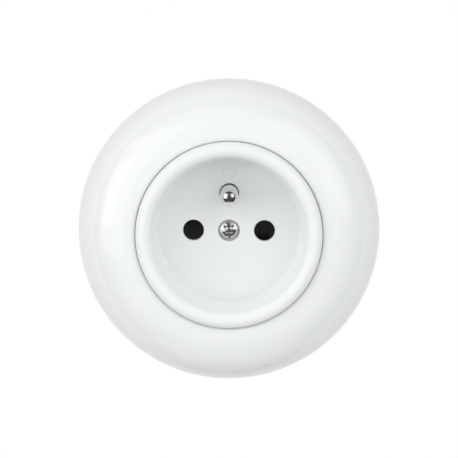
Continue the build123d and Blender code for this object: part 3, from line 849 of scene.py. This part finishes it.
@dataclass
class CentreCover:
    """The deep round well with its bead, floor, holes and sunk pad.

    Its shell sits a little above the frame's middle, pushed up in its play, so the gap is wider below.
    """

    wardrobe: Wardrobe
    rise: float = 0.08
    radius: float = 24.4
    mouth_radius: float = 20.4
    floor_radius: float = 19.0
    floor_height: float = 4.5
    underside: float = 2.5
    wall: float = 1.5
    skirt_wall: float = 1.4
    skirt_foot: float = 12.0
    bead_root: float = 17.5
    bead_points: int = 33
    corner: float = 0.35
    corner_points: int = 6
    pin_offset: float = 9.5
    pin_hole_radius: float = 2.8
    pin_hole_lip: float = 0.25
    earth_offset: float = 10.0
    earth_hole_radius: float = 2.6
    earth_hole_lip: float = 0.1
    screw_hole_radius: float = 1.75
    screw_seat_radius: float = 2.9
    screw_seat_height: float = 3.3
    screw_seat_lip: float = 0.15
    lip_points: int = 6
    seat_lip_points: int = 5
    hole_steps: int = 64
    pad: Triple = (7.8, 6.2, 0.2)
    pad_drop: float = 9.2
    pad_corner: float = 0.8
    pad_corner_steps: int = 6
    key: Triple = (4.0, 1.0, 1.6)
    key_radius: float = 19.3
    key_root: float = 0.5
    steps: int = 144

    def profile(self) -> Profile:
        """The closed half section.

        Returns:
            Its points, from the axis below round to the axis on the floor.
        """
        half = (self.radius - self.mouth_radius) / 2
        bead = arc((self.mouth_radius + half, self.bead_root), half, 0, 180, self.bead_points)
        taper = self.mouth_radius - self.floor_radius
        lean = math.degrees(math.atan2(taper, self.bead_root - self.floor_height))
        corner_centre = (self.floor_radius - self.corner, self.floor_height + self.corner)
        corner = arc(corner_centre, self.corner, -lean, -90, self.corner_points)
        return [
            (0.0, self.underside),
            (self.floor_radius + self.wall, self.underside),
            (self.mouth_radius + self.wall, self.bead_root),
            (self.radius - self.skirt_wall, self.bead_root),
            (self.radius - self.skirt_wall, self.skirt_foot),
            (self.radius, self.skirt_foot),
            *bead,
            *corner,
            (0.0, self.floor_height),
        ]

    def hole_tool(self, bore: Profile, lip: float, count: int, x: float, z: float) -> Piece:
        """A cutter for a hole with a rounded mouth.

        Args:
            bore: Radius and height of each of the bore's steps, from below.
            lip: The radius of the mouth's rounding.
            count: How many points the rounding has.
            x: The hole's X.
            z: The hole's Z.

        Returns:
            The cutter.
        """
        above = self.floor_height + OVERSHOOT
        mouth_radius = bore[-1][0] + lip
        mouth = arc((mouth_radius, self.floor_height - lip), lip, 180, 90, count)
        outline = [(0.0, bore[0][1]), *bore, *mouth, (mouth_radius, above), (0.0, above)]
        return turned("hole_tool", outline, self.hole_steps, x, z)

    def pad_tool(self) -> Piece:
        """A cutter for the sunk rating pad, with round corners.

        Returns:
            The cutter.
        """
        width, height, depth = self.pad
        low = (-width / 2, self.floor_height - depth, -self.pad_drop - height / 2)
        high = (width / 2, self.floor_height + OVERSHOOT, -self.pad_drop + height / 2)
        tool = block("pad_tool", low, high)
        edit_all(tool)
        bpy.ops.mesh.select_all(action="DESELECT")
        bpy.ops.object.mode_set(mode="OBJECT")
        for edge in tool.data.edges:
            first, second = (tool.data.vertices[i].co for i in edge.vertices)
            edge.select = abs(first.x - second.x) < NEAR and abs(first.z - second.z) < NEAR
        bpy.ops.object.mode_set(mode="EDIT")
        bpy.ops.mesh.bevel(offset=self.pad_corner * MM, segments=self.pad_corner_steps, affect="EDGES")
        bpy.ops.object.mode_set(mode="OBJECT")
        return tool

    def key_block(self) -> Piece:
        """The key below the floor.

        Returns:
            Its solid.
        """
        width, thickness, length = self.key
        low = (-width / 2, self.underside - length, -self.key_radius - thickness / 2)
        high = (width / 2, self.underside + self.key_root, -self.key_radius + thickness / 2)
        return block("key", low, high)

    def build(self) -> None:
        """Turns the cover, cuts its holes and its pad and seats it."""
        cover = turned("cover_shell", self.profile(), self.steps, 0.0, self.rise)
        below = self.underside - OVERSHOOT
        pin_bore = [(self.pin_hole_radius, below)]
        earth_bore = [(self.earth_hole_radius, below)]
        screw_bore = [
            (self.screw_hole_radius, below),
            (self.screw_hole_radius, self.screw_seat_height),
            (self.screw_seat_radius, self.screw_seat_height),
        ]
        holes = [
            (pin_bore, self.pin_hole_lip, self.lip_points, self.pin_offset, 0.0),
            (pin_bore, self.pin_hole_lip, self.lip_points, -self.pin_offset, 0.0),
            (earth_bore, self.earth_hole_lip, self.lip_points, 0.0, self.earth_offset),
            (screw_bore, self.screw_seat_lip, self.seat_lip_points, 0.0, 0.0),
        ]
        for hole in holes:
            combine(cover, self.hole_tool(*hole), Cut.AWAY)
        combine(cover, self.pad_tool(), Cut.AWAY)
        combine(cover, self.key_block(), Cut.JOINED)
        smooth(cover)
        self.wardrobe.seat(cover, "cover_plastic", "centre_cover")


@dataclass
class Markings:
    """The raised earth sign and the raised numbers in the sunk pad."""

    wardrobe: Wardrobe
    floor_height: float = 4.5
    relief: float = 0.22
    sink: float = 0.12
    sign_offset: float = 15.75
    sign_radius: float = 2.8
    sign_steps: int = 72
    stroke: float = 0.46
    rounding: float = 0.1
    rounding_points: int = 5
    bars: tuple[tuple[float, float], ...] = ((3.1, 0.35), (1.9, -0.45), (0.8, -1.2))
    numbers: tuple[tuple[str, float, float], ...] = (("16", 2.5, -7.95), ("250", 2.5, -10.65))
    pad_depth: float = 0.2
    letter_edge: float = 0.08
    letter_spacing: float = 1.15
    letter_curve_steps: int = 6

    def bar(self, width: float, low: float, high: float) -> Piece:
        """One straight raised stroke of the sign.

        Args:
            width: Its width.
            low: Its lowest Z.
            high: Its highest Z.

        Returns:
            The stroke.
        """
        bottom = self.floor_height - self.sink
        top = self.floor_height + self.relief
        return block("bar", (-width / 2, bottom, low), (width / 2, top, high), self.rounding)

    def sign(self) -> Piece:
        """The earth sign in its circle, with rounded tops.

        Returns:
            The sign.
        """
        outer = self.sign_radius
        inner = outer - self.stroke
        bottom = self.floor_height - self.sink
        top = self.floor_height + self.relief
        edge = self.rounding
        outline = [
            (inner, bottom),
            (outer, bottom),
            *arc((outer - edge, top - edge), edge, 0, 90, self.rounding_points),
            *arc((inner + edge, top - edge), edge, 90, 180, self.rounding_points),
            (inner, bottom),
        ]
        sign = turned("earth_sign", outline, self.sign_steps, 0.0, self.sign_offset)
        half = self.stroke / 2
        strokes = [
            self.bar(width, self.sign_offset + place - half, self.sign_offset + place + half)
            for width, place in self.bars
        ]
        stem_low = self.sign_offset + self.bars[0][1]
        strokes.append(self.bar(self.stroke, stem_low, self.sign_offset + inner - self.stroke))
        for stroke in strokes:
            combine(sign, stroke, Cut.JOINED)
        return smooth(sign)

    def number(self, words: str, size: float, z: float) -> Piece:
        """One row of raised numbers.

        Args:
            words: The numbers.
            size: Their size.
            z: Where the row's middle is.

        Returns:
            The row's mesh.
        """
        deselect()
        bpy.ops.object.text_add()
        row = bpy.context.object
        row.data.body = words
        row.data.size = size * MM
        row.data.align_x = "CENTER"
        row.data.align_y = "CENTER"
        row.data.space_character = self.letter_spacing
        row.data.extrude = ((self.relief + self.sink) / 2 - self.letter_edge) * MM
        row.data.bevel_depth = self.letter_edge * MM
        row.data.bevel_resolution = 1
        row.data.resolution_u = self.letter_curve_steps
        bpy.ops.object.convert(target="MESH")
        row = bpy.context.object
        middle = self.floor_height - self.pad_depth + (self.relief - self.sink) / 2
        row.rotation_euler = (math.radians(90), 0.0, 0.0)
        row.location = (0.0, -middle * MM, z * MM)
        settle(row)
        edit_all(row)
        weld()
        return row

    def build(self) -> None:
        """Makes the sign and the numbers and seats them."""
        # The sign and the numbers take the lighter white, a painted highlight, instead of the cover's
        # white.
        self.wardrobe.seat(self.sign(), "cover_plastic", finish="marks_painted_highlight")
        rows = [self.number(words, size, z) for words, size, z in self.numbers]
        numbers = smooth(together("pad_numbers", rows))
        self.wardrobe.seat(numbers, "cover_plastic", finish="marks_painted_highlight")


@dataclass(frozen=True)
class Groove:
    """A groove across the screw's head, before the screw is turned, in millimetres and degrees."""

    reach: float
    width: float
    depth: float
    edge: float
    angle: float


@dataclass
class CoverScrew:
    """The domed screw that holds the cover, with a cross recess and a slot through it."""

    wardrobe: Wardrobe
    head_radius: float = 2.5
    seat_height: float = 3.3
    head_height: float = 1.8
    rim_share: float = 0.66
    shoulder: float = 0.3
    shoulder_angle: float = 75.0
    edge: float = 0.2
    edge_points: int = 5
    crown_points: int = 18
    pip_radius: float = 1.15
    pip_height: float = 0.75
    pip_root: float = 0.3
    pip_steps: int = 32
    shank_radius: float = 1.5
    length: float = 11.0
    thread_start: float = 0.4
    thread_end: float = 1.0
    thread_pitch: float = 0.5
    thread_depth: float = 0.22
    tip: tuple[tuple[float, float], ...] = ((0.3, 0.4), (0.6, 0.0))
    recess_depth: float = 1.1
    grooves: tuple[Groove, ...] = (
        Groove(reach=1.9, width=0.62, depth=1.1, edge=0.12, angle=45.0),
        Groove(reach=1.9, width=0.62, depth=1.1, edge=0.12, angle=135.0),
        Groove(reach=2.15, width=0.75, depth=0.75, edge=0.1, angle=90.0),
    )
    turn: float = 5.0
    worn_edge: float = 0.05
    steps: int = 64

    def profile(self) -> Profile:
        """The screw's half section with its thread, from the crown down to its tip.

        Returns:
            Its points.
        """
        top = self.seat_height + self.head_height
        rim = self.seat_height + self.head_height * self.rim_share
        bulge = top - rim
        reach = self.head_radius - self.shoulder
        dome = (reach**2 + bulge**2) / (2 * bulge)
        lean = math.degrees(math.asin(reach / dome))
        edge_centre = (self.head_radius - self.edge, self.seat_height + self.edge)
        bottom = self.seat_height - self.length
        points = [
            *arc((0.0, top - dome), dome, 90, 90 - lean, self.crown_points),
            *arc((reach, rim - self.shoulder), self.shoulder, self.shoulder_angle, 0, self.edge_points),
            *arc(edge_centre, self.edge, 0, -90, self.edge_points),
            (self.shank_radius, self.seat_height),
        ]
        height = self.seat_height - self.thread_start
        while height > bottom + self.thread_end:
            points.append((self.shank_radius, height))
            points.append((self.shank_radius - self.thread_depth, height - self.thread_pitch / 2))
            height -= self.thread_pitch
        points += [(self.shank_radius - narrower, bottom + above) for narrower, above in self.tip]
        return [*points, (0.0, bottom)]

    def groove_tool(self, groove: Groove) -> Piece:
        """A cutter for a groove.

        Args:
            groove: The groove.

        Returns:
            The cutter.
        """
        top = self.seat_height + self.head_height
        low = (-groove.reach, top - groove.depth, -groove.width / 2)
        high = (groove.reach, top + OVERSHOOT, groove.width / 2)
        return block("groove_tool", low, high, groove.edge, groove.angle + self.turn)

    def pip(self) -> Piece:
        """The low cone in the middle of the recess.

        Returns:
            Its solid.
        """
        floor = self.seat_height + self.head_height - self.recess_depth
        root = floor - self.pip_root
        tip = floor + self.pip_height
        outline = [(0.0, root), (self.pip_radius, root), (self.pip_radius, floor), (0.0, tip)]
        return turned("pip", outline, self.pip_steps)

    def build(self) -> None:
        """Turns the screw, cuts its recess and slot and seats it."""
        screw = turned("cover_screw_bright", self.profile(), self.steps)
        for groove in self.grooves:
            combine(screw, self.groove_tool(groove), Cut.AWAY)
        combine(screw, self.pip(), Cut.JOINED)
        soften(screw, self.worn_edge)
        smooth(screw)
        self.wardrobe.seat(screw, "bright_nickel", "cover_screw")


@dataclass
class EarthPin:
    """The round-nosed pin, riveted to the earth strap behind."""

    wardrobe: Wardrobe
    radius: float = 2.4
    offset: float = 10.0
    tip: float = 18.5
    nose_points: int = 24
    floor_height: float = 4.5
    foot_edge: float = 0.1
    shank_radius: float = 2.1
    collar_radius: float = 3.5
    collar_top: float = -3.0
    strap_front: float = -4.0
    strap_back: float = -5.0
    rivet_radius: float = 1.6
    head_radius: float = 2.3
    head_height: float = 0.6
    head_taper: float = 0.9
    steps: int = 96

    def build(self) -> None:
        """Turns the pin and seats it."""
        profile = [
            *arc((0.0, self.tip - self.radius), self.radius, 90, 0, self.nose_points),
            (self.radius, self.floor_height + self.foot_edge),
            (self.radius - self.foot_edge, self.floor_height),
            (self.shank_radius, self.floor_height),
            (self.shank_radius, self.collar_top),
            (self.collar_radius, self.collar_top),
            (self.collar_radius, self.strap_front),
            (self.rivet_radius, self.strap_front),
            (self.rivet_radius, self.strap_back),
            (self.head_radius, self.strap_back),
            (self.head_radius * self.head_taper, self.strap_back - self.head_height / 2),
            (self.rivet_radius, self.strap_back - self.head_height),
            (0.0, self.strap_back - self.head_height),
        ]
        pin = turned("earth_pin_bright", profile, self.steps, 0.0, self.offset)
        self.wardrobe.seat(pin, "bright_nickel", "earth_pin")


@dataclass
class Mechanism:
    """What lies behind: the body, the ring, the deck, the shutter, the contacts and their fasteners.

    Each row of softened nodes has their names, their slot and the width of their edges.
    """

    wardrobe: Wardrobe
    softened: tuple[tuple[tuple[str, ...], str, float], ...] = (
        (("base_housing",), "housing_plastic", 0.25),
        (("mounting_ring",), "zinc_steel", 0.15),
        (tuple(f"ring_rivet_{number + 1}" for number in range(RIVET_COUNT)), "zinc_steel", 0.0),
        (tuple(f"{wire}_terminal_screw" for wire in WIRES), "zinc_steel", 0.06),
        (tuple(f"{wire}_clamp_plate" for wire in WIRES), "zinc_steel", 0.1),
        (("earth_strap",), "contact_brass", 0.1),
    )
    spring_axis: Triple = (1.0, 0.0, 0.1)
    spring_keep: float = 0.13

    def build(self, frame: dict) -> None:
        """Softens the pieces that show from behind, and dresses the rest as they are.
        """
        for nodes, slot, edge in self.softened:
            for node in nodes:
                self.wardrobe.seat(refined(node, node + "_finished", edge), slot, node)
        slots = {row["node"]: row["material_slot"] for row in frame["record"]["subparts"]}
        for node, piece in frame["nodes"].items():
            self.wardrobe.dress(piece, slots[node])
        spring = refined("shutter_spring", "shutter_spring_finished", 0.0)
        self.wardrobe.seat(spring, "spring_steel", "shutter_spring")
        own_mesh(spring)


# Studio


@dataclass(frozen=True)
class Softbox:
    """A flat lamp that faces the socket, in degrees, millimetres and watts."""

    name: str
    azimuth: float
    elevation: float
    width: float
    height: float
    power: float
    away: float = 900.0


@dataclass
class Studio:
    """Camera, lamps and pale surroundings."""

    distance: float = 500.0
    elevation: float = 6.1
    azimuth: float = 0.0
    roll: float = 0.5
    aim: Triple = (0.0, -1.0, 0.0)
    view_width: float = 123.3
    sensor: float = 36.0
    nearest: float = 10.0
    farthest: float = 20000.0
    front_light: float = 0.72
    right_gain: float = 0.14
    upper_gain: float = 0.26
    low_light: float = 0.5
    back_light: float = 0.31
    room_tone: Colour = (0.985, 0.997, 1.0)
    mirrored_room: float = 0.08
    backdrop_light: float = 1.0
    backdrop_blend: float = 0.05
    front_edge: float = -0.25
    front_blend: float = 0.25
    low_edge: float = -0.65
    low_blend: float = 0.1
    floor_radius: float = 400.0
    floor_drop: float = 600.0
    floor_corners: int = 96
    floor_tones: tuple[Colour, Colour] = ((0.9, 0.9, 0.9), (0.88, 0.88, 0.88))
    floor_cloud: float = 0.2
    floor_detail: float = 3.0
    floor_roughness: float = 0.7
    lamps: tuple[Softbox, ...] = (
        Softbox("softbox_left", -50.0, 15.0, width=900.0, height=1000.0, power=2.5),
        Softbox("softbox_left_core", -57.0, 12.0, width=400.0, height=480.0, power=0.75, away=890.0),
        Softbox("softbox_right", 43.0, 24.0, width=750.0, height=800.0, power=1.15),
        Softbox("softbox_right_core", 43.0, 20.0, width=420.0, height=520.0, power=0.35, away=890.0),
    )

    @staticmethod
    def direction(azimuth: float, elevation: float) -> Vector:
        """The way from the socket towards a place in front of it, by its two angles in degrees."""
        a, e = math.radians(azimuth), math.radians(elevation)
        return Vector((math.sin(a) * math.cos(e), -math.cos(a) * math.cos(e), math.sin(e)))

    def camera(self) -> None:
        """Stands the camera at the photograph's angle."""
        data = bpy.data.cameras.new("camera")
        camera = bpy.data.objects.new("camera", data)
        bpy.context.scene.collection.objects.link(camera)
        away = self.direction(self.azimuth, self.elevation)
        camera.location = (Vector(self.aim) + away * self.distance) * MM
        level = (-away).to_track_quat("-Z", "Y").to_matrix()
        camera.rotation_euler = (level @ Matrix.Rotation(math.radians(self.roll), 3, "Z")).to_euler()
        data.sensor_width = self.sensor
        data.lens = self.sensor * self.distance / self.view_width
        data.clip_start = self.nearest * MM
        data.clip_end = self.farthest * MM
        bpy.context.scene.camera = camera

    def lamp(self, box: Softbox) -> None:
        """Hangs one softbox, turned to the socket.

        Args:
            box: The softbox.
        """
        data = bpy.data.lights.new(box.name, "AREA")
        data.shape = "RECTANGLE"
        data.size = box.width * MM
        data.size_y = box.height * MM
        data.energy = box.power
        lamp = bpy.data.objects.new(box.name, data)
        bpy.context.scene.collection.objects.link(lamp)
        way = self.direction(box.azimuth, box.elevation)
        lamp.location = way * box.away * MM
        lamp.rotation_euler = (-way).to_track_quat("-Z", "Y").to_euler()

    def world(self) -> None:
        """A pale room, dark where metal mirrors it, and a white backdrop behind the socket."""
        world = bpy.data.worlds.new("studio")
        world.use_nodes = True
        graph = Graph(world.name, world.node_tree)
        way = graph.node("ShaderNodeTexCoord", output="Generated")
        path = {name: graph.node("ShaderNodeLightPath", output=f"Is {name} Ray") for name in RAYS}
        depth, sideways, height = (graph.part(way, axis) for axis in "YXZ")
        behind = 1.0 - depth.below(0.0, self.backdrop_blend)
        mirrored = path["Glossy"].maths("MAXIMUM", path["Glossy"], path["Transmission"]) * behind
        white = path["Camera"].maths("MAXIMUM", path["Camera"], mirrored)
        front = depth.below(self.front_edge, self.front_blend)
        low = front * height.below(self.low_edge, self.low_blend)
        lit = self.front_light + sideways * self.right_gain + height * self.upper_gain
        room_light = self.back_light + front * (lit - self.back_light) + low * self.low_light
        level = room_light - path["Glossy"] * (room_light - self.mirrored_room)
        room_look = {"Color": (*self.room_tone, 1.0), "Strength": level}
        room = graph.node("ShaderNodeBackground", None, room_look)
        backdrop_look = {"Color": (1.0, 1.0, 1.0, 1.0), "Strength": self.backdrop_light}
        backdrop = graph.node("ShaderNodeBackground", None, backdrop_look)
        graph.close(graph.node("ShaderNodeMixShader", None, {0: white, 1: room, 2: backdrop}))
        bpy.context.scene.world = world

    def floor(self) -> None:
        """A pale round table well below the socket."""
        deselect()
        bpy.ops.mesh.primitive_circle_add(
            vertices=self.floor_corners,
            radius=self.floor_radius * MM,
            fill_type="NGON",
            location=(0.0, 0.0, -self.floor_drop * MM),
        )
        floor = bpy.context.object
        floor.name = "studio_floor"
        settle(floor)
        graph = Graph("studio_floor_pale")
        tone = graph.mixed(graph.noise(self.floor_cloud, self.floor_detail), *self.floor_tones)
        floor.data.materials.append(graph.surface(tone, self.floor_roughness))

    def build(self) -> None:
        """Sets up everything that isn't the socket."""
        bpy.context.scene.view_settings.view_transform = "Standard"
        self.camera()
        self.world()
        self.floor()
        for box in self.lamps:
            self.lamp(box)


def main() -> None:
    """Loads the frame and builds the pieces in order."""
    logging.basicConfig(level=logging.INFO, format="%(name)s: %(message)s")
    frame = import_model()
    Studio().build()
    wardrobe = Wardrobe()
    Mechanism(wardrobe).build(frame)
    OuterFrame(wardrobe).build()
    CentreCover(wardrobe).build()
    Markings(wardrobe).build()
    CoverScrew(wardrobe).build()
    EarthPin(wardrobe).build()
    deselect()


if __name__ == "__main__":
    main()
